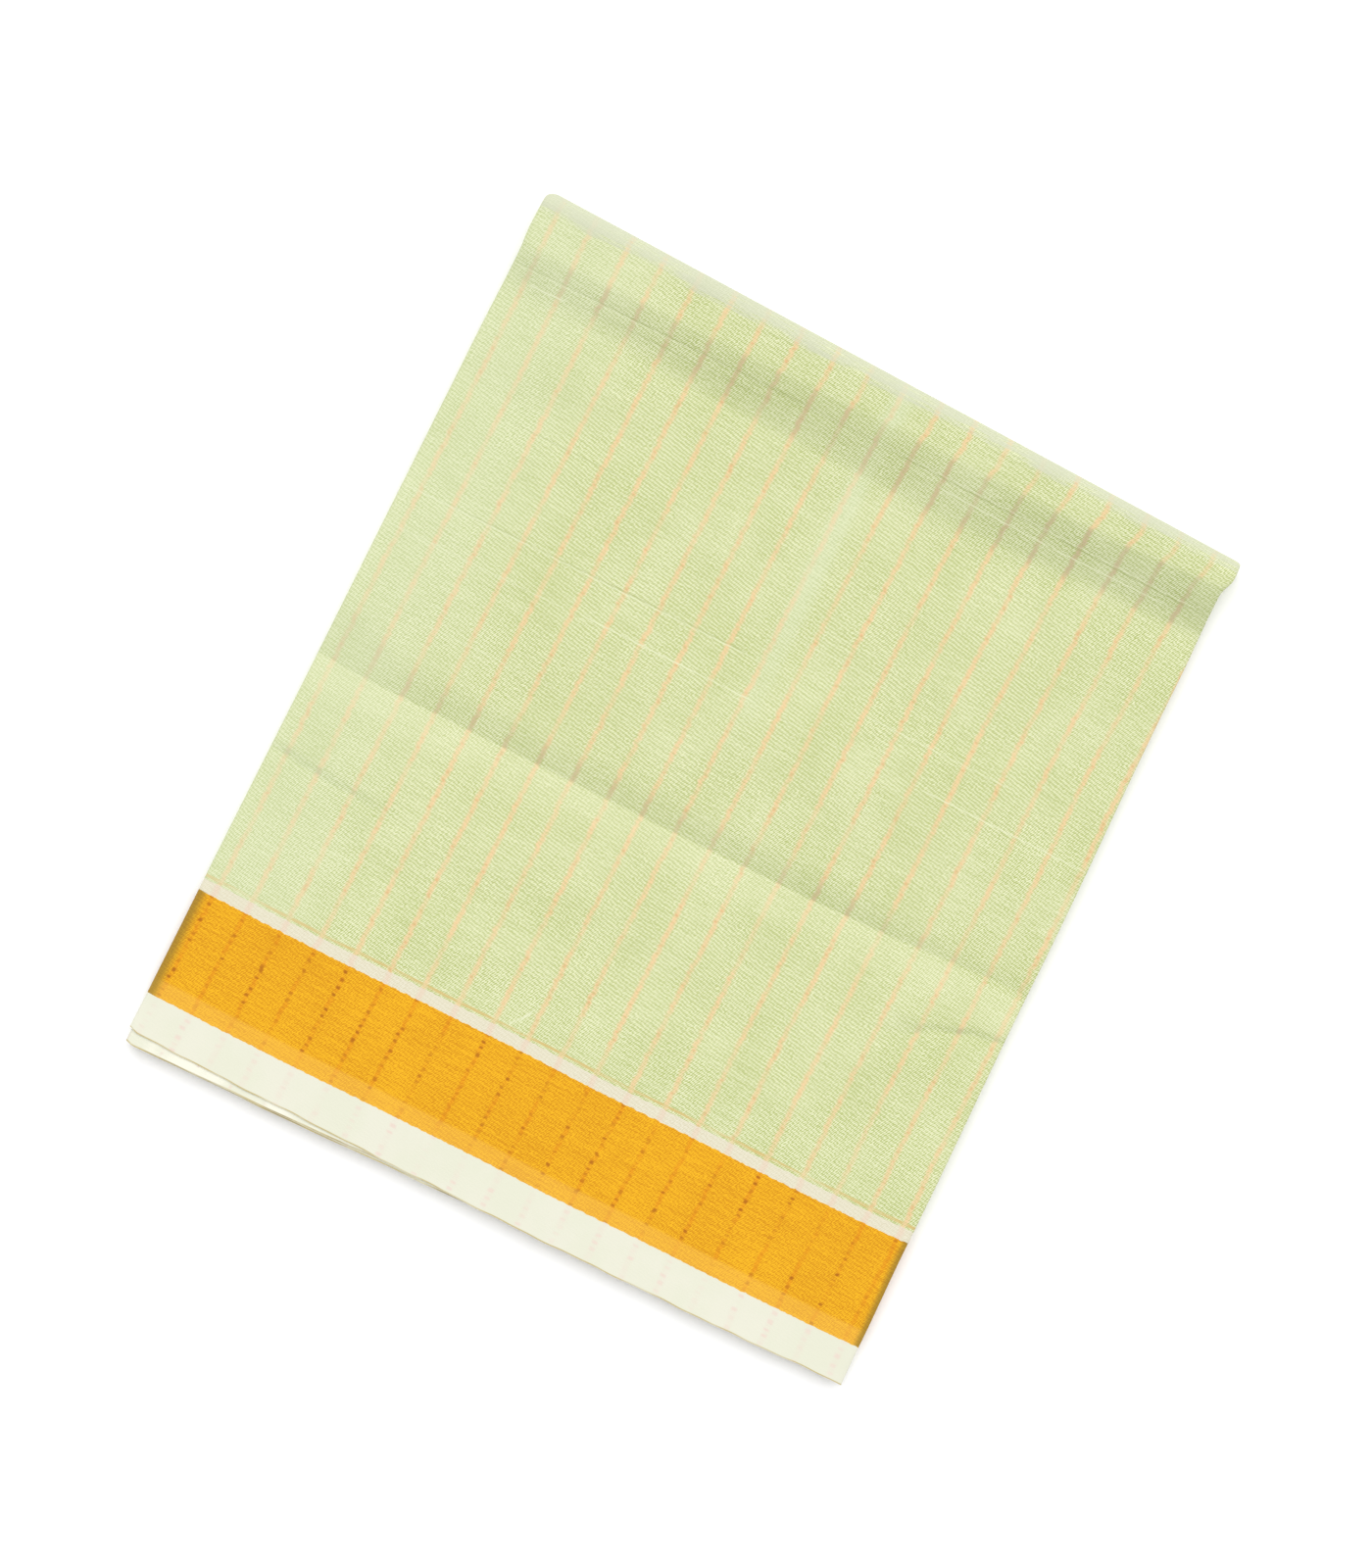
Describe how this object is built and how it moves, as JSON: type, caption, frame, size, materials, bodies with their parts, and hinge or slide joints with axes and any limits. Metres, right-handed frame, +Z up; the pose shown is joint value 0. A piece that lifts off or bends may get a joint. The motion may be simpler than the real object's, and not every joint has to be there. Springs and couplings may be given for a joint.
{
  "type": "folded saree",
  "caption": "Flat folded cotton saree pack with rounded side folds, a thick fold across the top, a deep contrast border and layered selvedges at the bottom, lying flat",
  "frame": {"origin": "middle of the flat underside of the pack, at the centre of its bounding box", "axes": "+X along the selvedges to the right, +Y across the cloth from the selvedges to the fold, +Z up through the thickness of the pack"},
  "size_m": [0.5088, 0.608, 0.0215],
  "materials": {
    "field": "matt pale green cotton with thin peach stripes",
    "border": "matt orange cotton with dotted darker stripes",
    "ecru": "coarse ecru cotton",
    "selvedge": "smooth pale cream cotton",
    "hidden": "matt cotton, folded layers"
  },
  "bodies": {
    "root": {"selvedge_band_front": "selvedge", "border_front": "border", "ecru_line_front": "ecru", "field_front": "field", "field_top_fold": "field", "field_back": "field", "ecru_line_back": "ecru", "border_back": "border", "selvedge_band_back": "selvedge", "right_side_fold": "hidden", "right_fold_core": "hidden", "inner_layers": "hidden"}
  },
  "joints": []
}
